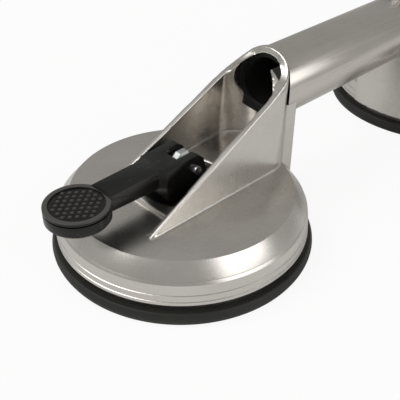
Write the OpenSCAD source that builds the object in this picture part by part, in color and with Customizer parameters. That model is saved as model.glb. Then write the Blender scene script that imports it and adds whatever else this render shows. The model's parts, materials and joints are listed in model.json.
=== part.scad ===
// Two-head suction lifter: two die-cast heads with rubber suction discs, joined by
// a tube handle. Each head holds a pull stud that a cam lever raises to make the vacuum.
// Units are millimetres. The glass is the plane z = 0 and the handle runs along X.

/* [Layout] */
// Distance between the centres of the two heads
head_spacing = 207.5; // [190:0.5:260]
// Height of the handle axis above the glass
handle_z = 59.4; // [57:0.1:64]

/* [Handle tube] */
// Outer diameter of the tube
tube_d = 32.6; // [28:0.1:33]
// Wall of the tube
tube_wall = 2; // [1:0.1:3.5]
// Radius of the saddle cut with which the tube fits round the back of a head
saddle_r = 22; // [21:0.1:26]
// Length of the cast spigot inside the tube, from the back of the head
spigot_l = 12; // [8:0.5:20]
// Wall of the spigot
spigot_wall = 2; // [1.5:0.1:3]

/* [Rubber suction disc] */
// Radius of the rubber disc
disc_r = 60; // [59:0.1:66]
// Height of the thick rim of the disc
rim_h = 6; // [4.5:0.1:7.5]
// Width of the flat ring that seals on the glass
seal_w = 11.5; // [6:0.1:13]
// Height of the rubber underside at the centre while the vacuum is held
dome_h = 6.4; // [6:0.1:9]
// Rubber under the steel pull plate
plate_floor = 2.2; // [1.2:0.1:3]
// Bulge of the outer edge of the rim
rim_bulge = 0.9; // [0.3:0.1:1.5]
// Rounding of the rim's upper and lower edges
rim_edge = 0.8; // [0.3:0.1:1.2]
// Rubber round the pull plate
plate_margin = 3; // [2:0.1:4]

/* [Head casting] */
// Height of the flat top face above the glass
top_z = 27.1; // [25:0.1:31]
// Radius of the flat top face
top_r = 50.5; // [48:0.1:53]
// Radius where the conical band ends
shoulder_r = 56; // [54.5:0.1:57]
// Height where the conical band ends
shoulder_z = 20.3; // [18:0.1:23]
// Radius of the skirt at its lower edge
skirt_r = 57.5; // [57.2:0.1:58]
// Height of the lower edge of the skirt
skirt_z = 9; // [8:0.1:11]
// Wall of the casting
cast_wall = 3.2; // [2.2:0.1:4]
// Step in radius from the skirt to the foot ring
foot_step = 2.5; // [1.5:0.1:3]
// Width of the foot ring that stands on the rubber rim
foot_w = 4.5; // [3:0.1:6]
// Depth of the turned lines round the skirt
line_d = 0.35; // [0.1:0.05:0.6]
// Height of the upper turned line
upper_line_z = 14.3; // [13:0.1:16]
// Height of the lower turned line
lower_line_z = 11.1; // [10.2:0.1:12]

/* [Tower] */
// Half width of the tower at the flat top face
tower_half = 19.4; // [18.6:0.1:21]
// Radius of the rounded collar above the handle axis
collar_r = 17.7; // [17.5:0.1:18.5]
// Wall of the tower
tower_wall = 2.8; // [2:0.1:3.4]
// Distance from the head centre to the axis of the round back
back_x = 37.8; // [36:0.1:40]
// Distance from the head centre to the axis of the round end of the channel
channel_x = 35.2; // [33:0.1:35.6]
// Forward lean of the channel's end wall, in degrees
channel_lean = 6; // [4:0.5:9]
// Height of the sloping rim over the head centre
rim_z = 44.3; // [42:0.1:47]
// Slope of the rim, in degrees
rim_slope = 26.3; // [24:0.1:28]
// Radius of the curve that lifts the rim over the handle
rim_curve_r = 12; // [8:0.5:14]
// Distance from the head centre to the start of that curve
rim_curve_x = 47.5; // [45:0.1:48.5]
// Radius of the cored hole in the end wall
core_hole_r = 12; // [9:0.1:12.2]
// Height of that hole's centre above the handle axis
core_hole_rise = 2.6; // [0:0.1:2.8]
// Half width of the pedestal under the handle
pedestal_half = 16; // [13:0.1:16.2]
// Radius of the pedestal's rear face about the head centre
pedestal_r = 58.3; // [57.8:0.1:59]

/* [Lever seat] */
// Distance from the head centre to the step at the front of the seat
step_x = 22.3; // [21:0.1:25]
// Height of the seat above the flat top face, at the step
step_h = 2.6; // [1.5:0.1:4]
// Rise of the seat towards the back, in degrees
seat_rise = 1.8; // [0:0.1:3]
// Radius of the round recess for the washers
recess_r = 18.2; // [16:0.1:19]
// Depth of that recess below the flat top face
recess_d = 2.5; // [2:0.1:3]
// Height above the seat to which the recess cuts into the tower walls
recess_relief = 4; // [1:0.5:6]
// Metal round the recess, under the top face
recess_wall = 3; // [2:0.1:4]

/* [Washers and bush] */
// Thickness of the steel washer
steel_washer_t = 2; // [1:0.1:2.5]
// Thickness of the slide washer
slide_washer_t = 1.4; // [1:0.1:2.5]
// Step in radius from the steel washer to the slide washer
washer_step = 0.7; // [0.3:0.1:2]
// Radius of the guide bush
bush_r = 7; // [6:0.1:8]
// Flange width and thickness of the guide bush
bush_flange = 2.4; // [1.5:0.1:3]
// Flange thickness of the guide bush
bush_flange_t = 1; // [0.6:0.1:1.5]
// Radius of the boss round the bush
boss_r = 13; // [12:0.1:16]
// Height of the underside of the boss
boss_z = 19; // [17.5:0.1:20.5]

/* [Pull stud and plate] */
// Diameter of the stud
stud_d = 8; // [6:0.1:8]
// Thickness of the flat eye
eye_t = 7; // [5:0.1:7.4]
// Length of the eye along the lever
eye_l = 8.4; // [7:0.1:8.6]
// Height of the eye above the pin
eye_top = 5.2; // [4:0.1:5.4]
// Chamfer of the eye's upper corners
eye_chamfer = 2.1; // [0.5:0.1:2.4]
// Radius of the pull plate
plate_r = 22; // [16:0.1:26]
// Thickness of the pull plate
plate_t = 2; // [1.2:0.1:3]
// Width of the stud nut across its flats
nut_af = 13; // [12:0.1:13]
// Height of the stud nut
nut_h = 4; // [3:0.1:5]
// Wire diameter of the release spring
wire_d = 1.6; // [1:0.1:1.8]
// Mean radius of the release spring
spring_r = 10.4; // [10:0.1:11]
// Turns of the release spring
spring_turns = 3.5; // [2:0.5:4]

/* [Lever] */
// Distance from the hinge pin to the flat that holds the vacuum
cam_hold = 12.3; // [11.5:0.1:13]
// Distance from the hinge pin to the face that rests when released
cam_release = 6.6; // [6.4:0.1:8]
// Distance from the hinge pin to the centre of the thumb pad
lever_reach = 55.2; // [50:0.1:62]
// Radius of the thumb pad
thumb_r = 13.6; // [11:0.1:16]
// Height of the thumb pad
thumb_h = 7.6; // [6:0.1:8.5]
// Radius of the grip field on the thumb pad
grip_r = 11.4; // [8:0.1:12.4]
// Depth of the grip field
grip_d = 0.7; // [0.3:0.1:1]
// Thickness of the thumb pad's upper tier
thumb_lip = 1.2; // [0.8:0.1:2]
// Depth and height of the groove under that tier
thumb_groove = 0.7; // [0.3:0.1:1.2]
// Width of the arm
arm_w = 12; // [9:0.1:15]
// Thickness of the arm
arm_h = 6.6; // [5:0.1:7.5]
// Fall of the arm's top face from the block to the thumb pad
arm_fall = 1.4; // [0:0.1:2.5]
// Width of the block that carries the pin
block_w = 17; // [16:0.1:19]
// Distance from the hinge pin to the front of the block
block_front = 15.9; // [14:0.1:16.5]
// Height of the block above the hinge pin
block_top = 6.2; // [5.8:0.1:7]
// Chamfer under the front of the block
block_toe = 3.2; // [1:0.1:4]
// Width of the slot for the eye
slot_w = 8.6; // [8.6:0.1:10]
// Distance from the hinge pin to the front of the slot
slot_front = 6.8; // [6.8:0.1:8]
// Diameter of the hinge pin
pin_d = 4.2; // [3:0.1:5]
// Length of the hinge pin beyond each side of the block
pin_proud = 2; // [0.5:0.1:3]

/* [Fits] */
// Radial running clearance of pins, stud and bush
run_gap = 0.05; // [0.02:0.01:0.08]
// Gap between the lever and the slide washer
lever_gap = 0.3; // [0.2:0.05:0.5]
// Gap between the pull plate and its pocket in the rubber
soft_gap = 0.3; // [0.2:0.05:0.5]
// Gap at each end of the release spring
seat_gap = 0.1; // [0.05:0.05:0.3]

/* [Hidden] */
$fn = 96;
eps = 0.02;              // overshoot of cuts and lap of joined shapes
big = 200;               // larger than any one head
soft_edge = 0.7;         // small rounding of a turned or cast edge
root = 6;                // how deep the tower reaches into the disc
lever_swing = 90;        // travel of the lever, in degrees
cam_steps = 12;          // facets of the cam curve
cam_k = (cam_hold - cam_release) / (PI / 2);   // stud travel per radian
plate_z = dome_h + plate_floor;                // underside of the pull plate
washer_z = top_z - recess_d;                   // floor of the washer recess
slide_z = washer_z + steel_washer_t;           // underside of the slide washer
slide_top = slide_z + slide_washer_t;
pin_z = slide_top + lever_gap + cam_hold;
tube_r = tube_d / 2;
tower_back = back_x + tower_half;              // rearmost point of the round back
saddle_x = tower_back + run_gap - saddle_r;    // axis of the saddle cut, from the head centre
spigot_r = tube_r - tube_wall - run_gap;
seat_z = top_z + step_h;
foot_r = skirt_r - foot_step;
foot_in = foot_r - foot_w;                     // inside of the foot ring
draft = (tower_half - collar_r) / (handle_z - top_z);
rim_slope_t = tan(rim_slope);
thumb_top = block_top - arm_fall;              // top of the thumb pad above the hinge pin
arm_low = -arm_h / 3;                          // underside of the arm at the block
heel_x = cam_release - 5.1;                    // rear end of the block's top face
heel_l = 3.4;                                  // chamfer behind that face
heel_h = 2.5;

// ---- helpers -------------------------------------------------------------

// A head is drawn with its centre at the origin, its lever towards -X and the handle towards +X.
module front() {
    translate([-head_spacing / 2, 0, 0]) children();
}

module rear() {
    translate([head_spacing / 2, 0, 0]) rotate([0, 0, 180]) children();
}

// A prism along X from x0 to x1, from an outline drawn in (y, z)
module along_x(x0, x1) {
    translate([x0, 0, 0]) rotate([90, 0, 90]) linear_extrude(x1 - x0) children();
}

// A prism of width w along Y, from an outline drawn in (x, z)
module along_y(w) {
    translate([0, w / 2, 0]) rotate([90, 0, 0]) linear_extrude(w) children();
}

// A round bar along X through the handle axis
module handle_bar(x0, x1, r) {
    translate([x0, 0, handle_z]) rotate([0, 90, 0]) cylinder(h = x1 - x0, r = r);
}

function smooth(t) = t * t * (3 - 2 * t);
function arc(cx, cy, r, a0, a1, n) =
    [for (i = [0:n]) [cx + r * cos(a0 + (a1 - a0) * i / n), cy + r * sin(a0 + (a1 - a0) * i / n)]];

// ---- handle --------------------------------------------------------------

module handle_tube() {
    half = head_spacing / 2 - saddle_x;
    color("silver")
    difference() {
        handle_bar(-half, half, tube_r);
        handle_bar(-half - 1, half + 1, tube_r - tube_wall);
        for (side = [-1, 1]) translate([side * half, 0, 0]) cylinder(h = big, r = saddle_r);
    }
}

// ---- head casting --------------------------------------------------------

// A shallow turned line at height z, at the skirt's radius there
function turned_line(r, z) = [[r, z + line_d], [r - line_d, z], [r, z - line_d]];
function skirt_at(z) = shoulder_r + (skirt_r - shoulder_r) * sqrt((shoulder_z - z) / (shoulder_z - skirt_z));

module skirt_outline() {
    crown = [for (i = [1:4]) shoulder_z + (upper_line_z - shoulder_z) * i / 5];
    polygon(concat(
        [[0, boss_z], [0, top_z], [top_r - soft_edge, top_z], [top_r, top_z - soft_edge / 2]],
        turned_line(shoulder_r, shoulder_z),
        [for (z = crown) [skirt_at(z), z]],
        turned_line(skirt_at(upper_line_z), upper_line_z),
        turned_line(skirt_at(lower_line_z), lower_line_z),
        [[skirt_r, skirt_z], [foot_r, skirt_z], [foot_r, rim_h], [foot_in, rim_h], [foot_in, boss_z]]
    ));
}

// The space under the top wall, round the boss of the guide bush
module under_space() {
    roof = top_z - cast_wall;
    pad_z = washer_z - cast_wall;
    pad_r = recess_r + recess_wall;
    rotate_extrude()
        polygon([
            [0, rim_h - 1], [0, boss_z], [boss_r, boss_z], [boss_r + soft_edge, pad_z], [pad_r, pad_z],
            [pad_r + roof - pad_z, roof], [top_r - cast_wall, roof], [foot_in, shoulder_z - cast_wall / 2],
            [foot_in, rim_h - 1]
        ]);
}

// Cross-section of the tower with its wall taken off by inset
module tower_section(inset) {
    low = top_z - root;
    half_low = tower_half - inset + draft * (top_z - low);
    half_axis = collar_r - inset;
    polygon([[-half_low, low], [half_low, low], [half_axis, handle_z], [-half_axis, handle_z]]);
    translate([0, handle_z]) circle(r = half_axis);
}

// Everything below the sloping rim, seen from the side
module below_rim() {
    z1 = rim_z + rim_slope_t * rim_curve_x;
    cx = rim_curve_x - rim_curve_r * sin(rim_slope);
    cz = z1 + rim_curve_r * cos(rim_slope);
    polygon(concat(
        [[-big, -big], [-big, rim_z - rim_slope_t * big]],
        arc(cx, cz, rim_curve_r, rim_slope - 90, 0, 12),
        [[cx + rim_curve_r, big], [big, big], [big, -big]]
    ));
}

// Plan of a channel: straight sides with a round end of radius r at x
module round_end(x, r) {
    translate([x - big, -r, 0]) cube([big, 2 * r, big]);
    translate([x, 0, 0]) cylinder(h = big, r = r);
}

module tower_body() {
    intersection() {
        along_x(-top_r, tower_back + 1) tower_section(0);
        round_end(back_x, tower_half);
        along_y(big) below_rim();
    }
}

// The open channel in which the lever stands
module channel() {
    end_r = tower_half - tower_wall;
    difference() {
        intersection() {
            along_x(-top_r, tower_back) tower_section(tower_wall);
            translate([channel_x, 0, seat_z]) rotate([0, -channel_lean, 0]) translate([0, 0, -seat_z])
                round_end(0, end_r);
        }
        seat();
        translate([-big, -big, top_z - big]) cube([2 * big, 2 * big, big]);
    }
}

// The raised seat inside the channel, which starts at a straight step
module seat() {
    along_y(4 * collar_r)
        polygon([
            [-step_x, 0], [soft_edge / 2 - step_x, seat_z],
            [tower_back, seat_z + tan(seat_rise) * (tower_back + step_x)], [tower_back, 0]
        ]);
}

// Block under the handle, from the skirt up to the tube
module pedestal() {
    intersection() {
        translate([channel_x, -pedestal_half, skirt_z]) cube([big, 2 * pedestal_half, handle_z - skirt_z]);
        cylinder(h = big, r = pedestal_r);
    }
}

// The room that the tube takes behind the tower, round the spigot
module tube_room() {
    difference() {
        handle_bar(back_x, big, tube_r + run_gap);
        round_end(back_x, tower_half);
        handle_bar(0, big, spigot_r);
    }
}

module head() {
    bore_x = tower_back - cast_wall;
    color("silver")
    difference() {
        union() {
            rotate_extrude() skirt_outline();
            tower_body();
            pedestal();
            handle_bar(back_x, tower_back + spigot_l, spigot_r);
        }
        under_space();
        channel();
        translate([0, 0, washer_z]) cylinder(h = recess_d + step_h + recess_relief, r = recess_r);
        cylinder(h = top_z, r = bush_r);
        translate([0, 0, washer_z - bush_flange_t])
            cylinder(h = bush_flange_t + eps, r = bush_r + bush_flange + soft_gap);
        tube_room();
        translate([0, 0, core_hole_rise]) handle_bar(channel_x, bore_x, core_hole_r);
        handle_bar(bore_x - cast_wall, big, spigot_r - spigot_wall);
    }
}

// ---- rubber suction disc -------------------------------------------------

module suction_disc() {
    seal_in = disc_r - rim_bulge - rim_edge - seal_w;
    flat_r = plate_r + plate_margin;
    top_flat = plate_z + plate_t;
    under = [for (i = [0:10]) [flat_r + (seal_in - flat_r) * i / 10, dome_h * (1 - smooth(i / 10))]];
    ledge_r = foot_in - rim_edge;
    over = [for (i = [0:10])
        [ledge_r - (ledge_r - flat_r) * i / 10, rim_h + (top_flat - rim_h) * smooth(i / 10)]];
    side = [for (a = [-60:20:60]) [
        disc_r - rim_bulge * (1 - cos(a)) / (1 - cos(60)),
        rim_h / 2 + (rim_h / 2 - rim_edge / 2) * sin(a) / sin(60)
    ]];
    corner_r = disc_r - rim_bulge - rim_edge;
    pocket_r = plate_r + soft_gap;
    color([0.11, 0.11, 0.11])
    rotate_extrude()
        polygon(concat(
            [[0, dome_h]], under, [[corner_r, 0]], side, [[corner_r, rim_h]], over,
            [[pocket_r, top_flat], [pocket_r, plate_z - eps], [0, plate_z - eps]]
        ));
}

// ---- parts on the stud ---------------------------------------------------

module pull_plate() {
    color("gray")
    translate([0, 0, plate_z])
    difference() {
        cylinder(h = plate_t, r = plate_r);
        translate([0, 0, -1]) cylinder(h = plate_t + 2, r = stud_d / 2 + run_gap);
    }
}

module stud_nut() {
    color("gray")
    translate([0, 0, plate_z + plate_t])
    difference() {
        cylinder(h = nut_h, r = nut_af / 2 / cos(30), $fn = 6);
        translate([0, 0, -1]) cylinder(h = nut_h + 2, r = stud_d / 2 + run_gap);
    }
}

module pull_stud() {
    travel = cam_hold - cam_release;
    neck_z = slide_top + travel + lever_gap;
    half = eye_l / 2;
    color("lightgray")
    difference() {
        union() {
            translate([0, 0, plate_z]) cylinder(h = neck_z - plate_z + 1, r = stud_d / 2);
            intersection() {
                along_y(eye_t)
                    polygon([
                        [-half, neck_z], [half, neck_z], [half, pin_z + eye_top - eye_chamfer],
                        [half - eye_chamfer, pin_z + eye_top], [eye_chamfer - half, pin_z + eye_top],
                        [-half, pin_z + eye_top - eye_chamfer]
                    ]);
                translate([0, 0, neck_z]) cylinder(h = big, r = norm([half, eye_t / 2]) - soft_edge / 2);
            }
        }
        pin_bore();
    }
}

module pin_bore() {
    translate([0, -block_w, pin_z]) rotate([-90, 0, 0])
        cylinder(h = 2 * block_w, r = pin_d / 2 + run_gap);
}

module hinge_pin() {
    half = block_w / 2 + pin_proud;
    edge = soft_edge / 2;
    color("lightgray")
    translate([0, 0, pin_z]) rotate([90, 0, 0])
        rotate_extrude()
            polygon([
                [0, -half], [pin_d / 2 - edge, -half], [pin_d / 2, edge - half],
                [pin_d / 2, half - edge], [pin_d / 2 - edge, half], [0, half]
            ]);
}

// A round wire wound along a helix, closed at both ends
module release_spring() {
    per_turn = 20;
    sides = 8;
    rings = floor(spring_turns * per_turn);
    z0 = plate_z + plate_t + wire_d / 2 + seat_gap;
    z1 = boss_z - wire_d / 2 - seat_gap;
    function ring(i) = let (a = 360 * i / per_turn, z = z0 + (z1 - z0) * i / rings)
        [for (j = [0:sides - 1]) let (b = 360 * j / sides, r = spring_r + wire_d / 2 * cos(b))
            [r * cos(a), r * sin(a), z + wire_d / 2 * sin(b)]];
    pts = [for (i = [0:rings]) each ring(i)];
    skin = [for (i = [0:rings - 1], j = [0:sides - 1]) let (k = (j + 1) % sides)
        [i * sides + j, i * sides + k, (i + 1) * sides + k, (i + 1) * sides + j]];
    caps = [[for (j = [0:sides - 1]) sides - 1 - j], [for (j = [0:sides - 1]) rings * sides + j]];
    color("gray") polyhedron(points = pts, faces = concat(skin, caps), convexity = 6);
}

// ---- parts in the lever seat ---------------------------------------------

module guide_bush() {
    color([0.85, 0.85, 0.82])
    difference() {
        union() {
            translate([0, 0, boss_z]) cylinder(h = washer_z - boss_z, r = bush_r - run_gap);
            translate([0, 0, washer_z - bush_flange_t]) cylinder(h = bush_flange_t, r = bush_r + bush_flange);
        }
        translate([0, 0, boss_z - 1]) cylinder(h = washer_z, r = stud_d / 2 + run_gap);
    }
}

module washer(z, t, r) {
    translate([0, 0, z])
    difference() {
        cylinder(h = t, r = r);
        translate([0, 0, -1]) cylinder(h = t + 2, r = stud_d / 2 + soft_gap);
    }
}

module steel_washer() {
    color("lightgray") washer(washer_z, steel_washer_t, recess_r - soft_gap);
}

module slide_washer() {
    color([0.08, 0.08, 0.09]) washer(slide_z, slide_washer_t, recess_r - soft_gap - washer_step);
}

// ---- lever ---------------------------------------------------------------

// The cam touches the washer at every angle: its support distance falls evenly
// from cam_hold to cam_release while the lever swings up.
function cam_point(a) = let (h = cam_hold - cam_k * a * PI / 180)
    [h * sin(a) - cam_k * cos(a), -h * cos(a) - cam_k * sin(a)];

module block_side() {
    neck = -block_front - arm_h;
    polygon(concat(
        [[neck, block_top - arm_fall / 2], [neck, arm_low], [-block_front, arm_low - soft_edge]],
        [[-block_front, block_toe - cam_hold], [block_toe - block_front, -cam_hold]],
        [for (i = [0:cam_steps]) cam_point(lever_swing * i / cam_steps)],
        [[heel_x + heel_l, block_top - heel_h], [heel_x, block_top]]
    ));
}

module block_plan() {
    shoulder = (block_w - arm_w) / 2;
    side = [
        [-block_front - arm_h, arm_w / 2], [-block_front - shoulder, arm_w / 2], [-block_front, block_w / 2],
        [cam_hold, block_w / 2]
    ];
    polygon(concat(side, [for (i = [3:-1:0]) [side[i].x, -side[i].y]]));
}

module arm_side() {
    polygon([
        [-block_front, block_top - arm_fall / 3], [-lever_reach, thumb_top], [-lever_reach, thumb_top - arm_h],
        [-block_front, arm_low - soft_edge]
    ]);
}

module thumb_pad() {
    groove_r = thumb_r - thumb_groove;
    groove_z = -thumb_lip - thumb_groove;
    edge = soft_edge / 2;
    translate([-lever_reach, 0, thumb_top])
    rotate_extrude()
        polygon([
            [0, -grip_d], [grip_r, -grip_d], [grip_r, 0], [thumb_r - edge, 0], [thumb_r, -edge],
            [thumb_r, -thumb_lip], [groove_r, -thumb_lip], [groove_r, groove_z], [thumb_r, groove_z],
            [thumb_r, 2 * soft_edge - thumb_h], [thumb_r - 2 * soft_edge, -thumb_h], [0, -thumb_h]
        ]);
}

module lever() {
    color([0.09, 0.09, 0.09])
    difference() {
        translate([0, 0, pin_z])
        union() {
            intersection() {
                along_y(block_w) block_side();
                translate([0, 0, -big / 2]) linear_extrude(big) block_plan();
            }
            difference() {
                along_y(arm_w) arm_side();
                translate([-lever_reach, 0, -big / 2])
                    cylinder(h = big, r = thumb_r - 2 * thumb_groove);
            }
            thumb_pad();
        }
        translate([-slot_front, -slot_w / 2, pin_z - 2 * cam_hold]) cube([big, slot_w, 4 * cam_hold]);
        pin_bore();
    }
}

handle_tube();
front() head();  // front_head
front() suction_disc();  // front_suction_disc
front() pull_plate();  // front_pull_plate
front() pull_stud();  // front_pull_stud
front() stud_nut();  // front_stud_nut
front() release_spring();  // front_release_spring
front() guide_bush();  // front_guide_bush
front() steel_washer();  // front_steel_washer
front() slide_washer();  // front_slide_washer
front() lever();  // front_lever
front() hinge_pin();  // front_hinge_pin
rear() head();  // rear_head
rear() suction_disc();  // rear_suction_disc
rear() pull_plate();  // rear_pull_plate
rear() pull_stud();  // rear_pull_stud
rear() stud_nut();  // rear_stud_nut
rear() release_spring();  // rear_release_spring
rear() guide_bush();  // rear_guide_bush
rear() steel_washer();  // rear_steel_washer
rear() slide_washer();  // rear_slide_washer
rear() lever();  // rear_lever
rear() hinge_pin();  // rear_hinge_pin
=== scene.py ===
"""Looks of a two-head suction lifter.

Cast aluminium heads, rubber discs, black cam levers and a tube handle."""

import json
import math

import bpy
import numpy as np
from mathutils import Matrix, Vector


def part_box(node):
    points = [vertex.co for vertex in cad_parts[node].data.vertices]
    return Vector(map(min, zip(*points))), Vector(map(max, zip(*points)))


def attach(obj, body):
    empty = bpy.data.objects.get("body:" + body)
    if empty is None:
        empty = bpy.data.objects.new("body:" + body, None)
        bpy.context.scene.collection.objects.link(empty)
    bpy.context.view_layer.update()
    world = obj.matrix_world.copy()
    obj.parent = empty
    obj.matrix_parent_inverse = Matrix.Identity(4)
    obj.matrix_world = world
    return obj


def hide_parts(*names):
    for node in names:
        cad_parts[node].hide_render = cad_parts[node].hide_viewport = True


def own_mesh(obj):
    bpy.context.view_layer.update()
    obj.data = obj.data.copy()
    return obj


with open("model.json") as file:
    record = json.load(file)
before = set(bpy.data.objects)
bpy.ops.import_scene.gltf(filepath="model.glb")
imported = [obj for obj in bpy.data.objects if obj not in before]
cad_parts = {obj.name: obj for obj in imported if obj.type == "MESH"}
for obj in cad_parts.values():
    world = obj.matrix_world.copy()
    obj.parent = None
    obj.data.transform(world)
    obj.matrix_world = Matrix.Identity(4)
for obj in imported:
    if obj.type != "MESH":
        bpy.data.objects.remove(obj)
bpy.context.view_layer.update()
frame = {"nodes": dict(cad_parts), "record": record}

mm = 0.001
CYLINDER_SIDES = 144


# ---- places read from the frame ------------------------------------------------------

def middle(node):
    low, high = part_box(node)
    return (low + high) / 2


HEADS = ("front", "rear")
head_x = {head: middle(f"{head}_suction_disc").x for head in HEADS}
disc_r = (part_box("front_suction_disc")[1].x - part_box("front_suction_disc")[0].x) / 2
tube_low, tube_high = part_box("handle_tube")
tube_r = (tube_high.z - tube_low.z) / 2
tube_z = (tube_high.z + tube_low.z) / 2
pin_low, pin_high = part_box("front_hinge_pin")
pin_z = (pin_low.z + pin_high.z) / 2
pin_r = (pin_high.z - pin_low.z) / 2
pin_half = pin_high.y
skirt_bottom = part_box("front_head")[0].z
bodies = frame["record"]["behaviour"]["bodies"]
body_of = {node: body for body, nodes in bodies.items() for node in nodes}

# The head casting's turned sizes
top_z = 27.1 * mm
top_r = 50.5 * mm
shoulder_r = 56 * mm
shoulder_z = 20.3 * mm
skirt_r = 57.5 * mm
skirt_z = 9 * mm
foot_r = 55 * mm
foot_w = 4.5 * mm
wall = 3.2 * mm

# Where the rubber's thick rim meets its dome
dome_r = 47.8 * mm

# The lever's sizes
reach = 55.2 * mm
thumb_r = 13.6 * mm
thumb_h = 7.6 * mm
grip_r = 11.4 * mm
grip_d = 0.7 * mm
block_top = 6.2 * mm
pad_top = pin_z + block_top - 1.4 * mm
pad_floor = pad_top - grip_d

# The cored hole in the channel's end wall
hole_r = 12 * mm
hole_z = 62 * mm

# The painted shade inside begins this far from a head's axis, and this far from the tube's
bore_start = 47 * mm
bore_r = tube_r - 1.7 * mm


# ---- modelling helpers ---------------------------------------------------------------

def deselect():
    if bpy.context.mode != "OBJECT":
        bpy.ops.object.mode_set(mode="OBJECT")
    bpy.ops.object.select_all(action="DESELECT")


def edit(piece):
    """Opens one piece in edit mode with all of it selected."""
    deselect()
    piece.select_set(True)
    bpy.context.view_layer.objects.active = piece
    bpy.ops.object.mode_set(mode="EDIT")
    bpy.ops.mesh.select_all(action="SELECT")


def done(piece):
    """Goes back to object mode."""
    if bpy.context.mode != "OBJECT":
        bpy.ops.object.mode_set(mode="OBJECT")
    return piece


def modify(piece, kind, **settings):
    """Adds a modifier and applies it."""
    done(piece)
    deselect()
    piece.select_set(True)
    bpy.context.view_layer.objects.active = piece
    modifier = piece.modifiers.new(kind.title(), kind)
    for key, value in settings.items():
        setattr(modifier, key, value)
    bpy.ops.object.modifier_apply(modifier=modifier.name)
    return piece


def bevel(piece, width, segments=3, angle=30):
    return modify(
        piece, "BEVEL", width=width, segments=segments, limit_method="ANGLE",
        angle_limit=math.radians(angle), use_clamp_overlap=True,
    )


def cut(piece, tool, operation="DIFFERENCE"):
    """One boolean with a tool piece, which is then thrown away."""
    modify(piece, "BOOLEAN", object=tool, operation=operation, solver="EXACT")
    bpy.data.objects.remove(tool)
    return piece


def outward(piece):
    """Merges what coincides and turns every face outward."""
    edit(piece)
    bpy.ops.mesh.remove_doubles(threshold=1e-7)
    bpy.ops.mesh.select_all(action="SELECT")
    bpy.ops.mesh.normals_make_consistent(inside=False)
    return done(piece)


def smooth(piece, angle=35):
    deselect()
    piece.select_set(True)
    bpy.context.view_layer.objects.active = piece
    bpy.ops.object.shade_smooth_by_angle(angle=math.radians(angle))
    return piece


def block(name, low, high):
    """A box between two corners."""
    deselect()
    size = Vector(high) - Vector(low)
    bpy.ops.mesh.primitive_cube_add(size=1, location=(Vector(high) + Vector(low)) / 2)
    piece = bpy.context.object
    piece.name = name
    piece.scale = size
    bpy.ops.object.transform_apply(location=True, rotation=False, scale=True)
    return piece


def rod(name, start, end, radius, sides=64):
    """A plain round bar between two points."""
    deselect()
    along = Vector(end) - Vector(start)
    turn = along.to_track_quat("Z", "Y").to_euler()
    bpy.ops.mesh.primitive_cylinder_add(
        vertices=sides, radius=radius, depth=along.length,
        location=(Vector(start) + Vector(end)) / 2, rotation=turn,
    )
    piece = bpy.context.object
    piece.name = name
    bpy.ops.object.transform_apply(location=True, rotation=True, scale=True)
    return piece


def turned(name, profile, solid, sides=CYLINDER_SIDES):
    """A piece turned about Z, ring by ring along a profile of (radius, height).

    A solid one is closed by flat ends, and a ring by a wall from its last point to its first."""
    deselect()
    radius, height = profile[0]
    bpy.ops.mesh.primitive_circle_add(
        vertices=sides, radius=radius, location=(0, 0, height),
        fill_type="TRIFAN" if solid else "NOTHING",
    )
    piece = bpy.context.object
    piece.name = name
    bpy.ops.object.transform_apply(location=True, rotation=True, scale=True)
    bpy.ops.object.mode_set(mode="EDIT")
    bpy.ops.mesh.select_all(action="SELECT")
    for next_radius, next_height in profile[1:]:
        rise = (0, 0, next_height - height)
        bpy.ops.mesh.extrude_region_move(TRANSFORM_OT_translate={"value": rise})
        share = next_radius / radius
        bpy.ops.transform.resize(value=(share, share, 1), center_override=(0, 0, next_height))
        radius, height = next_radius, next_height
    if not solid:
        bpy.ops.mesh.select_all(action="DESELECT")
        bpy.ops.mesh.select_mode(type="EDGE")
        bpy.ops.mesh.select_non_manifold()
        bpy.ops.mesh.bridge_edge_loops()
    return outward(piece)


def arc(x, z, radius, start, end, steps):
    """Points of a round corner, from one angle to another in degrees."""
    turns = [math.radians(start + (end - start) * i / steps) for i in range(steps + 1)]
    return [(x + radius * math.cos(a), z + radius * math.sin(a)) for a in turns]


def cad_copy(name, node, flat=None):
    """A merged copy of a solid's mesh, moved to the head's own place.

    Faces that are flat to each other within an angle in degrees become one."""
    piece = bpy.data.objects.new(name, frame["nodes"][node].data.copy())
    bpy.context.scene.collection.objects.link(piece)
    piece.data.transform(Matrix.Translation((-head_x["front"], 0, 0)))
    edit(piece)
    bpy.ops.mesh.customdata_custom_splitnormals_clear()
    bpy.ops.mesh.remove_doubles(threshold=2e-6)
    if flat:
        bpy.ops.mesh.dissolve_limited(angle_limit=math.radians(flat))
    return done(piece)


def fit(piece, head):
    """Moves a piece from the head's own place, lever towards -X, to the head it belongs to."""
    turn = Matrix.Rotation(math.pi if head == "rear" else 0, 4, "Z")
    piece.data.transform(Matrix.Translation((head_x[head], 0, 0)) @ turn)
    piece.data.update()
    return piece


def both(piece, nodes, slot, body=None, squash=None):
    """Puts a piece, and a turned copy of it, on the front and the rear head."""
    base = piece.name
    rear = bpy.data.objects.new(f"rear_{base}", piece.data.copy())
    bpy.context.scene.collection.objects.link(rear)
    piece.name = f"front_{base}"
    for head, one in zip(HEADS, (piece, rear)):
        one.data.name = one.name
        fit(one, head)
        one.data.materials.clear()
        one.data.materials.append(finishes[slot])
        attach(one, body_of[f"{head}_{body or nodes[0]}"])
        if nodes:
            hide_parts(*[f"{head}_{node}" for node in nodes])
        if squash:
            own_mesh(one)


# ---- finishes ------------------------------------------------------------------------

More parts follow.
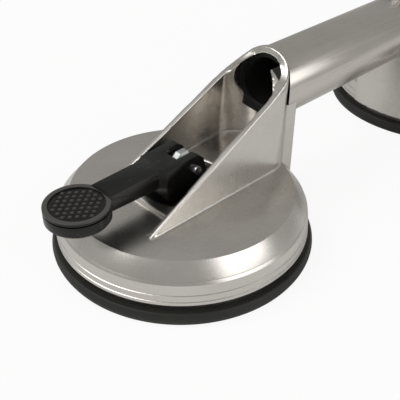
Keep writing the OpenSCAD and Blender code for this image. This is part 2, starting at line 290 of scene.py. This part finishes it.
class Value:
    """A socket in a finish. Arithmetic on values adds the finish's Math nodes."""

    def __init__(self, finish, socket):
        self.finish = finish
        self.socket = socket

    def _math(self, operation, first, second):
        return self.finish.node("ShaderNodeMath", {"operation": operation}, {0: first, 1: second})

    def __add__(self, other):
        return self._math("ADD", self, other)

    def __sub__(self, other):
        return self._math("SUBTRACT", self, other)

    def __rsub__(self, other):
        return self._math("SUBTRACT", other, self)

    def __mul__(self, other):
        return self._math("MULTIPLY", self, other)

    def __truediv__(self, other):
        return self._math("DIVIDE", self, other)

    def __pow__(self, other):
        return self._math("POWER", self, other)


class Finish:
    """A material with one Principled shader and the nodes that vary it over the surface."""

    def __init__(self, name, color, roughness, metallic=0.0, **fixed):
        self.material = bpy.data.materials.new(name)
        self.material.use_nodes = True
        self.tree = self.material.node_tree
        self.shader = self.tree.nodes["Principled BSDF"]
        self.set("Base Color", (*color, 1))
        self.set("Roughness", roughness)
        self.set("Metallic", metallic)
        for key, value in fixed.items():
            self.set(key.replace("_", " ").title().replace("Ior", "IOR"), value)
        self.place = self.node("ShaderNodeTexCoord", output="Object")

    def node(self, kind, settings=None, inputs=None, output=0):
        new = self.tree.nodes.new(kind)
        for key, value in (settings or {}).items():
            if key == "stops":
                self._stops(new.color_ramp, value)
            else:
                setattr(new, key, value)
        for key, value in (inputs or {}).items():
            self._feed(new.inputs[key], value)
        return Value(self, new.outputs[output])

    def _stops(self, ramp, stops):
        while len(ramp.elements) < len(stops):
            ramp.elements.new(0.5)
        for element, (position, color) in zip(ramp.elements, stops):
            element.position = position
            element.color = (color, color, color, 1)

    def _feed(self, socket, value):
        if isinstance(value, Value):
            self.tree.links.new(value.socket, socket)
        else:
            socket.default_value = value

    def set(self, name, value):
        self._feed(self.shader.inputs[name], value)

    def noise(self, scale, detail=3.0, stretch=(1, 1, 1), roughness=0.5):
        """Noise with features of about 1/scale metres, drawn out where the stretch is small."""
        spread = self.node("ShaderNodeMapping", inputs={"Vector": self.place, "Scale": stretch})
        return self.node(
            "ShaderNodeTexNoise",
            inputs={"Vector": spread, "Scale": scale, "Detail": detail, "Roughness": roughness},
        )

    def mix(self, share, first, second):
        """A colour between two colours."""
        return self.node(
            "ShaderNodeMix", {"data_type": "RGBA"}, {"Factor": share, 6: first, 7: second}, output=2
        )

    def ramp(self, value, *stops):
        return self.node("ShaderNodeValToRGB", {"stops": stops}, {"Fac": value})

    def axes(self):
        """The three object coordinates, in metres."""
        split = self.tree.nodes.new("ShaderNodeSeparateXYZ")
        self.tree.links.new(self.place.socket, split.inputs[0])
        return [Value(self, socket) for socket in split.outputs]

    def size(self, value):
        """A value without its sign."""
        return self.node("ShaderNodeMath", {"operation": "ABSOLUTE"}, {0: value})

    def step(self, value, limit):
        """One where a value is under its limit."""
        return self.node("ShaderNodeMath", {"operation": "LESS_THAN"}, {0: value, 1: limit})

    def most(self, first, second):
        """The greater of two values."""
        return self.node("ShaderNodeMath", {"operation": "MAXIMUM"}, {0: first, 1: second})

    def bump(self, height, depth, strength=1.0):
        self.set("Normal", self.node(
            "ShaderNodeBump", inputs={"Height": height, "Distance": depth, "Strength": strength},
            output="Normal",
        ))


BLACK = (0.006, 0.006, 0.005, 1)


def painted_bore_shade(f):
    """Painted shade: one inside the cored bore and the tube, and zero elsewhere."""
    x, y, z = f.axes()
    hole = (y * y + (z - hole_z) ** 2) ** 0.5
    bore = (y * y + (z - tube_z) ** 2) ** 0.5
    inside = f.step(f.size(x), head_x["rear"] - bore_start)
    return f.most(f.step(hole, hole_r + 0.1 * mm), f.step(bore, bore_r)) * inside


def cast_aluminium():
    """Die-cast aluminium, blasted to a warm satin, with faint clouds and scuffs."""
    f = Finish("cast_aluminium", (0.60, 0.575, 0.54), 0.32, 1.0)
    grain = f.noise(5200, 2)
    cloud = f.noise(45, 4)
    scuff = f.ramp(f.noise(380, 6, roughness=0.7), (0.60, 0.0), (0.72, 1.0))
    # Painted shade: inside the bore and round the hole the casting is painted black and not
    # metallic.
    dark = painted_bore_shade(f)
    satin = f.mix(cloud, (0.54, 0.515, 0.48, 1), (0.70, 0.675, 0.64, 1))
    worn = f.mix(scuff * 0.25, satin, (0.80, 0.79, 0.77, 1))
    f.set("Base Color", f.mix(dark, worn, BLACK))
    f.set("Metallic", 1 - dark)
    f.set("Roughness", cloud * 0.14 + grain * 0.08 + scuff * 0.05 + dark * 0.5 + 0.17)
    f.bump(grain * 0.6 + scuff * 0.1, 0.03 * mm, 0.5)
    return f.material


def brushed_aluminium():
    """A tube brushed along its length, with painted shade inside."""
    f = Finish("brushed_aluminium", (0.60, 0.575, 0.54), 0.3, 1.0)
    lines = f.noise(1500, 3, stretch=(0.02, 1, 1))
    cloud = f.noise(50, 3)
    # Painted shade: the inside of the tube is painted black and not metallic.
    dark = painted_bore_shade(f)
    tone = f.mix(lines * 0.6 + cloud * 0.4, (0.50, 0.47, 0.43, 1), (0.70, 0.67, 0.63, 1))
    f.set("Base Color", f.mix(dark, tone, BLACK))
    f.set("Metallic", 1 - dark)
    f.set("Roughness", lines * 0.16 + cloud * 0.08 + dark * 0.5 + 0.18)
    f.bump(lines, 0.02 * mm, 0.5)
    return f.material


def black_rubber():
    """Matte moulded rubber with a dusty bloom."""
    f = Finish("black_rubber", (0.012, 0.012, 0.010), 0.55, specular_ior_level=0.35)
    skin = f.noise(1100, 5, roughness=0.6)
    bloom = f.noise(90, 3)
    f.set("Base Color", f.mix(skin * 0.5 + bloom * 0.5, BLACK, (0.030, 0.030, 0.025, 1)))
    f.set("Roughness", skin * 0.25 + 0.4)
    f.bump(skin, 0.06 * mm, 0.5)
    return f.material


def lever_plastic():
    """Glossy moulded plastic, scratched and specked, with a painted grey highlight on the tops of
    the pad and its grip points.
    """
    f = Finish("lever_plastic", (0.006, 0.006, 0.006), 0.3, specular_ior_level=0.35)
    skin = f.noise(2500, 3)
    specks = f.ramp(f.noise(900, 6, roughness=0.75), (0.66, 0.0), (0.74, 1.0))
    scratch = f.ramp(f.noise(420, 4, stretch=(0.25, 1, 1)), (0.64, 0.0), (0.70, 1.0))
    x, _, z = f.axes()
    pad = 1 - f.step(f.size(x), head_x["rear"] + reach - grip_r)
    # Painted highlight: the tops of the pad and of its grip points are greyed, more the higher they
    # stand.
    painted_highlight = f.ramp((z - pad_floor) / (grip_d + 0.1 * mm), (0.25, 0.0), (1.0, 1.0)) * pad
    wear_and_highlight = f.most(specks * 0.35, f.most(scratch * 0.12, painted_highlight * 0.5))
    # One grey serves the dust specks, the scratches and the painted highlight.
    gloss_black, dust_and_highlight = (0.0045, 0.0045, 0.0042, 1), (0.16, 0.155, 0.145, 1)
    f.set("Base Color", f.mix(wear_and_highlight, gloss_black, dust_and_highlight))
    f.set("Roughness", skin * 0.12 + specks * 0.2 + painted_highlight * 0.12 + 0.2)
    f.bump(skin + scratch * 0.5, 0.02 * mm, 0.5)
    return f.material


def slide_plastic():
    f = Finish("slide_plastic", (0.012, 0.012, 0.013), 0.16)
    skin = f.noise(700, 2)
    f.set("Roughness", skin * 0.12 + 0.1)
    return f.material


def bush_plastic():
    f = Finish("bush_plastic", (0.70, 0.69, 0.64), 0.45)
    f.set("Roughness", f.noise(800, 2) * 0.2 + 0.35)
    return f.material


def steel(name, color, roughness, grain_scale):
    f = Finish(name, color, roughness, 1.0)
    grain = f.noise(grain_scale, 3)
    dark = tuple(0.8 * c for c in color)
    f.set("Base Color", f.mix(grain, (*dark, 1), (*color, 1)))
    f.set("Roughness", grain * 0.16 + (roughness - 0.08))
    f.bump(grain, 0.03 * mm, 0.4)
    return f.material


finishes = {
    "cast_aluminium": cast_aluminium(),
    "brushed_aluminium": brushed_aluminium(),
    "black_rubber": black_rubber(),
    "lever_plastic": lever_plastic(),
    "slide_plastic": slide_plastic(),
    "bush_plastic": bush_plastic(),
    "zinc_plated_steel": steel("zinc_plated_steel", (0.62, 0.64, 0.64), 0.38, 1800),
    "bright_steel": steel("bright_steel", (0.72, 0.72, 0.71), 0.2, 2500),
    "plated_steel": steel("plated_steel", (0.55, 0.55, 0.53), 0.35, 1500),
}


# ---- camera, light and floor ---------------------------------------------------------

def add_camera():
    """Looks down on the front head from its lever side."""
    azimuth, elevation, roll = (math.radians(a) for a in (-133.536, 36.369, 0.436))
    target = Vector((-107.966, -16.391, 30)) * mm
    distance = 307.16 * mm
    flat = math.cos(elevation)
    away = Vector((flat * math.cos(azimuth), flat * math.sin(azimuth), math.sin(elevation)))
    level = (-away).cross(Vector((0, 0, 1))).normalized()
    upright = level.cross(-away)
    right = math.cos(roll) * level + math.sin(roll) * upright
    up = math.cos(roll) * upright - math.sin(roll) * level
    data = bpy.data.cameras.new("camera")
    data.lens = 64.58
    data.clip_start = 0.01
    data.shift_x, data.shift_y = -0.00125, 0.0022
    camera = bpy.data.objects.new("camera", data)
    bpy.context.scene.collection.objects.link(camera)
    turn = Matrix((right, up, away)).transposed().to_4x4()
    camera.matrix_world = Matrix.Translation(target + distance * away) @ turn
    bpy.context.scene.camera = camera


def add_softbox(name, place, aim, size, power):
    data = bpy.data.lights.new(name, "AREA")
    data.shape = "RECTANGLE"
    data.size, data.size_y = size
    data.energy = power
    lamp = bpy.data.objects.new(name, data)
    bpy.context.scene.collection.objects.link(lamp)
    lamp.location = place
    lamp.rotation_euler = (Vector(aim) - Vector(place)).to_track_quat("-Z", "Y").to_euler()


def add_world():
    world = bpy.data.worlds.new("studio")
    bpy.context.scene.world = world
    world.use_nodes = True
    tree = world.node_tree
    tree.nodes.clear()
    out = tree.nodes.new("ShaderNodeOutputWorld")
    ways = tree.nodes.new("ShaderNodeLightPath")
    plain = tree.nodes.new("ShaderNodeBackground")
    plain.inputs["Color"].default_value = (0.80, 0.79, 0.77, 1)
    plain.inputs["Strength"].default_value = 0.5
    seen = tree.nodes.new("ShaderNodeBackground")
    seen.inputs["Color"].default_value = (1, 1, 1, 1)
    mix = tree.nodes.new("ShaderNodeMixShader")
    tree.links.new(ways.outputs["Is Camera Ray"], mix.inputs["Fac"])
    tree.links.new(plain.outputs[0], mix.inputs[1])
    tree.links.new(seen.outputs[0], mix.inputs[2])
    tree.links.new(mix.outputs[0], out.inputs["Surface"])


def add_floor():
    deselect()
    bpy.ops.mesh.primitive_plane_add(size=6, location=(0, 0, -0.05 * mm))
    floor = bpy.context.object
    floor.name = "studio_floor"
    material = bpy.data.materials.new("floor_paper")
    material.use_nodes = True
    tree = material.node_tree
    tree.nodes.clear()
    out = tree.nodes.new("ShaderNodeOutputMaterial")
    ways = tree.nodes.new("ShaderNodeLightPath")
    paper = tree.nodes.new("ShaderNodeBsdfDiffuse")
    paper.inputs["Color"].default_value = (0.92, 0.92, 0.92, 1)
    glow = tree.nodes.new("ShaderNodeEmission")
    glow.inputs["Color"].default_value = (1, 1, 1, 1)
    glow.inputs["Strength"].default_value = 1
    share = tree.nodes.new("ShaderNodeMath")
    share.operation = "MULTIPLY"
    share.inputs[1].default_value = 0.9
    mix = tree.nodes.new("ShaderNodeMixShader")
    tree.links.new(ways.outputs["Is Camera Ray"], share.inputs[0])
    tree.links.new(share.outputs[0], mix.inputs["Fac"])
    tree.links.new(paper.outputs[0], mix.inputs[1])
    tree.links.new(glow.outputs[0], mix.inputs[2])
    tree.links.new(mix.outputs[0], out.inputs["Surface"])
    floor.data.materials.append(material)


bpy.context.scene.view_settings.view_transform = "Standard"
add_camera()
add_world()
add_floor()
lit = (-0.1, 0, 0.03)
add_softbox("key_softbox", place=(-0.9, 0.4, 1.1), aim=lit, size=(0.9, 0.9), power=9)
add_softbox("fill_softbox", place=(0.2, -1.3, 0.8), aim=lit, size=(1.2, 0.8), power=6)


# ---- handle --------------------------------------------------------------------------

def handle_tube():
    """A brushed tube whose ends are cut to a saddle round the backs of the towers."""
    half, saddle_r, saddle_half = 68.5 * mm, 22 * mm, 30 * mm
    inner = tube_r - 2 * mm
    edge = 0.3 * mm
    piece = turned("aluminium_tube", [
        (inner, half - edge), (inner + edge, half), (tube_r - edge, half), (tube_r, half - edge),
        (tube_r, edge - half), (tube_r - edge, -half), (inner + edge, -half), (inner, edge - half),
    ], solid=False)
    piece.data.transform(Matrix.Translation((0, 0, tube_z)) @ Matrix.Rotation(math.pi / 2, 4, "Y"))
    for side in (-1, 1):
        low, high = ((side * half, 0, tube_z + end) for end in (-saddle_half, saddle_half))
        cut(piece, rod("saddle", low, high, saddle_r, 160))
    bevel(piece, 0.25 * mm, 2, 50)
    smooth(piece)
    piece.data.materials.append(finishes["brushed_aluminium"])
    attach(piece, "frame")
    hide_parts("handle_tube")


# ---- head casting --------------------------------------------------------------------

def skirt_at(z):
    """The crowned skirt's radius at a height."""
    drop = (shoulder_z - z) / (shoulder_z - skirt_z)
    return shoulder_r + (skirt_r - shoulder_r) * math.sqrt(drop)


def groove(z, depth, half):
    """A shallow turned line in the skirt, from above."""
    r = skirt_at(z)
    return [(r, z + half), (r - depth, z + half * 0.4), (r - depth, z - half * 0.4), (r, z - half)]


def head_disc():
    """The turned rim of the casting.

    It has a flat top, a conical band, a crowned skirt with two lines, and the foot."""
    inner = 19.2 * mm
    piece = turned("head_disc", [
        (inner, top_z), (top_r - 0.5 * mm, top_z),
        (top_r - 0.1 * mm, top_z - 0.12 * mm), (top_r + 0.2 * mm, top_z - 0.5 * mm),
        (shoulder_r - 0.3 * mm, shoulder_z + 0.55 * mm),
        (shoulder_r - 0.15 * mm, shoulder_z + 0.25 * mm),
        (shoulder_r - 0.35 * mm, shoulder_z - 0.05 * mm),
        (shoulder_r - 0.1 * mm, shoulder_z - 0.35 * mm),
        *[(skirt_at(z), z) for z in (shoulder_z - 1.2 * mm, shoulder_z - 3 * mm)],
        *groove(14.3 * mm, 0.3 * mm, 0.35 * mm),
        (skirt_at(12.7 * mm), 12.7 * mm),
        *groove(11.1 * mm, 0.3 * mm, 0.35 * mm),
        (skirt_r, skirt_z + 0.5 * mm), (skirt_r - 0.15 * mm, skirt_z + 0.12 * mm),
        (skirt_r - 0.5 * mm, skirt_z),
        (foot_r, skirt_z), (foot_r, skirt_bottom), (foot_r - foot_w, skirt_bottom),
        (foot_r - foot_w, shoulder_z - wall / 2), (top_r - wall, top_z - wall),
        (inner, top_z - wall),
    ], solid=False, sides=192)
    smooth(piece, 25)
    return piece


def head_tower():
    """The cast tower with its channel, lever seat, boss and pedestal, softened as a casting is."""
    piece = cad_copy("head_tower", "front_head")
    keeper = rod("keeper", (0, 0, 18.4 * mm), (0, 0, 90 * mm), 55.8 * mm, 96)
    limits = (
        ("front_limit", (-40, -22.9, 0), (70, 22.9, 95), "INTERSECT"),
        ("back_limit", (40, -20.6, 24), (59, 20.6, 88), "UNION"),
        ("foot_limit", (34, -16, 9), (60, 16, 60), "UNION"),
        ("spigot_limit", (55, -15, 43), (72, 15, 76), "UNION"),
    )
    for name, low, high, operation in limits:
        low, high = ([v * mm for v in corner] for corner in (low, high))
        cut(keeper, block(name, low, high), operation)
    cut(piece, keeper, "INTERSECT")
    modify(piece, "REMESH", mode="VOXEL", voxel_size=0.5 * mm, adaptivity=0)
    modify(piece, "SMOOTH", factor=0.5, iterations=6)
    sink_flush_faces(piece)
    smooth(piece, 60)
    return piece


def sink_flush_faces(piece):
    """Lowers what is flush with the turned disc by a hair, so that only the tower rises from it."""
    hair = 0.09 * mm
    depth = 0.5 * mm
    blend = 0.3 * mm
    slope = (top_z - shoulder_z) / (shoulder_r - top_r)
    across = math.hypot(1, slope)
    mesh = piece.data
    co = np.empty(len(mesh.vertices) * 3)
    mesh.vertices.foreach_get("co", co)
    co = co.reshape(-1, 3)
    r = np.hypot(co[:, 0], co[:, 1])
    over_top = co[:, 2] - top_z
    over_cone = (over_top + slope * (r - top_r)) / across
    over = np.where(r < top_r, over_top, over_cone)
    near = np.clip(1 - over / blend, 0, 1) * (over > -depth)
    near = near * near * (3 - 2 * near)
    lean = np.where(r < top_r, 0, slope / across)[:, None]
    radial = lean * co[:, :2] / np.maximum(r, 1e-6)[:, None]
    down = np.where(r < top_r, 1, 1 / across)
    co[:, :2] -= hair * near[:, None] * radial
    co[:, 2] -= hair * near * down
    mesh.vertices.foreach_set("co", co.ravel())
    mesh.update()


# ---- rubber --------------------------------------------------------------------------

def rubber_rim():
    """The thick rim of the suction disc, with its flat seal on the glass."""
    rim_h = 6 * mm
    half = rim_h / 2
    corner = 0.9 * mm
    bulge = 0.8 * mm
    lower = arc(disc_r - bulge - corner, corner, corner, -90, -20, 5)
    upper = arc(disc_r - bulge - corner, rim_h - corner, corner, 20, 90, 5)
    belly = [
        (disc_r - bulge * t ** 2 * 0.6, half + t * (half - 1.3 * mm))
        for t in (-0.8, -0.4, 0, 0.4, 0.8)
    ]
    piece = turned("rubber_rim", [
        (dome_r, 0.05 * mm), *lower, *belly, *upper, (dome_r, rim_h),
    ], solid=False, sides=192)
    return smooth(piece, 40)


def rubber_dome():
    """The flexible middle of the suction disc, drawn up by the pull plate."""
    dome_h = 6.4 * mm
    floor_t = 2.2 * mm
    edge_h, crown_h = 5.9 * mm, 10.5 * mm
    flat_r, plate_r, core_r = 25 * mm, 22.3 * mm, 5 * mm
    rise = [i / 10 for i in range(11)]
    ease = [t * t * (3 - 2 * t) for t in rise]
    width = dome_r - flat_r
    under = [(flat_r + width * t, dome_h * (1 - e)) for t, e in zip(rise, ease)]
    over = [(dome_r - width * t, edge_h + (crown_h - edge_h) * e) for t, e in zip(rise, ease)]
    piece = turned("rubber_dome", [
        (core_r, dome_h), *under, *over,
        (plate_r, crown_h), (plate_r, dome_h + floor_t), (core_r, dome_h + floor_t),
    ], solid=True, sides=128)
    return smooth(piece, 40)


# ---- washers, stud and pin -----------------------------------------------------------

def washer(name, node, edge):
    """A flat ring with a rounded outer edge."""
    low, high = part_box(f"front_{node}")
    outer = (high.y - low.y) / 2
    inner = 4.3 * mm
    piece = turned(name, [
        (inner, low.z), (outer - edge, low.z), *arc(outer - edge, low.z + edge, edge, -60, 0, 2),
        *arc(outer - edge, high.z - edge, edge, 0, 90, 4),
        (inner + edge, high.z), (inner, high.z - edge),
    ], solid=False)
    return smooth(piece)


def pull_stud():
    """The round stud with its flat eye, zinc plated."""
    low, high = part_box("front_pull_stud")
    eye_t, eye_l = 7 * mm, 8.4 * mm
    stud_r = 4 * mm
    neck = 34.0 * mm
    piece = turned("pull_stud", [
        (stud_r - 0.4 * mm, low.z), (stud_r, low.z + 0.4 * mm), (stud_r, neck + 1 * mm),
    ], solid=True, sides=64)
    eye = block("eye", (-eye_l / 2, -eye_t / 2, neck), (eye_l / 2, eye_t / 2, high.z))
    bevel(eye, 2.1 * mm, 1)
    cut(piece, eye, "UNION")
    bore_half, clearance = 9 * mm, 0.05 * mm
    cut(piece, rod("bore", (0, -bore_half, pin_z), (0, bore_half, pin_z), pin_r + clearance))
    outward(piece)
    return smooth(piece, 30)


def hinge_pin():
    """The steel pin across the cam block."""
    edge = 0.4 * mm
    piece = turned("hinge_pin", [
        (pin_r - edge, -pin_half), (pin_r - 0.1 * mm, 0.1 * mm - pin_half),
        (pin_r, edge - pin_half),
        (pin_r, pin_half - edge), (pin_r - 0.1 * mm, pin_half - 0.1 * mm), (pin_r - edge, pin_half),
    ], solid=True, sides=48)
    piece.data.transform(Matrix.Translation((0, 0, pin_z)) @ Matrix.Rotation(math.pi / 2, 4, "X"))
    return smooth(piece, 30)


# ---- lever ---------------------------------------------------------------------------

def thumb_pad():
    """A round pad in two tiers, with a recess for the grip field."""
    top = pad_top
    lip, groove_d, soft = 1.2 * mm, 0.7 * mm, 0.25 * mm
    foot = 1.6 * mm
    piece = turned("thumb_pad", [
        *arc(thumb_r - 0.2 * mm - foot, top - thumb_h + foot, foot, -90, 0, 6),
        (thumb_r - 0.1 * mm, top - lip - groove_d - soft),
        (thumb_r - 0.1 * mm - soft, top - lip - groove_d),
        (thumb_r - groove_d, top - lip - groove_d + 0.1 * mm),
        (thumb_r - groove_d, top - lip - 0.1 * mm),
        (thumb_r - soft, top - lip), (thumb_r, top - lip + soft), (thumb_r, top - 0.4 * mm),
        *arc(thumb_r - 0.4 * mm, top - 0.4 * mm, 0.4 * mm, 30, 90, 3),
        (grip_r + 0.3 * mm, top), (grip_r + 0.08 * mm, top - 0.08 * mm), (grip_r, top - 0.3 * mm),
        (grip_r - 0.1 * mm, top - grip_d),
    ], solid=True, sides=128)
    return piece


def grip_points():
    """A diamond grid of low four-sided points in the recess of the pad."""
    along, across = 4.5 * mm, 3.3 * mm
    height = 0.95 * mm
    foot = pad_floor - 0.1 * mm
    made = []
    for row in range(-8, 9):
        for column in range(-4, 5):
            x = (column + (row % 2) / 2) * along
            y = row * across / 2
            if math.hypot(x, y) > grip_r - 1.5 * mm:
                continue
            deselect()
            bpy.ops.mesh.primitive_cone_add(
                vertices=4, radius1=1, radius2=0.12, depth=1, location=(x, y, foot + height / 2),
            )
            point = bpy.context.object
            point.scale = (along / 2 * 0.98, across / 2 * 0.98, height)
            made.append(point)
    for point in made:
        point.select_set(True)
    bpy.context.view_layer.objects.active = made[0]
    bpy.ops.object.join()
    bpy.ops.object.transform_apply(location=True, rotation=True, scale=True)
    field = bpy.context.object
    field.name = "grip_points"
    return field


def lever():
    """The solid's arm and cam block, softened, with the pad put in place of the solid's own."""
    piece = cad_copy("cam_lever", "front_lever", flat=0.5)
    low, high = ((-reach, 0, pin_z + end) for end in (-20 * mm, 20 * mm))
    cut(piece, rod("pad_space", low, high, thumb_r - 1 * mm, 96))
    bevel(piece, 0.35 * mm, 3, 25)
    pad = thumb_pad()
    cut(pad, grip_points(), "UNION")
    pad.data.transform(Matrix.Translation((-reach, 0, 0)))
    cut(piece, pad, "UNION")
    outward(piece)
    return smooth(piece, 30)


# ---- the whole -----------------------------------------------------------------------

handle_tube()
both(head_disc(), ["head"], "cast_aluminium")
both(head_tower(), [], "cast_aluminium", body="head")
both(rubber_rim(), ["suction_disc"], "black_rubber")
both(rubber_dome(), [], "black_rubber", body="suction_disc",
     squash={"axis": (0, 0, 1), "anchor": (0, 0, 0), "keep": 0.34})
both(washer("steel_ring", "steel_washer", 0.35 * mm), ["steel_washer"], "bright_steel")
both(washer("slide_ring", "slide_washer", 0.3 * mm), ["slide_washer"], "slide_plastic")
both(pull_stud(), ["pull_stud"], "zinc_plated_steel")
both(hinge_pin(), ["hinge_pin"], "bright_steel")
both(lever(), ["lever"], "lever_plastic")

# Inner pieces, shown as the solids are
kept = {
    "pull_plate": "plated_steel", "stud_nut": "zinc_plated_steel", "release_spring": "plated_steel",
    "guide_bush": "bush_plastic",
}
for head in HEADS:
    for node, slot in kept.items():
        shown = frame["nodes"][f"{head}_{node}"]
        shown.data.materials.clear()
        shown.data.materials.append(finishes[slot])
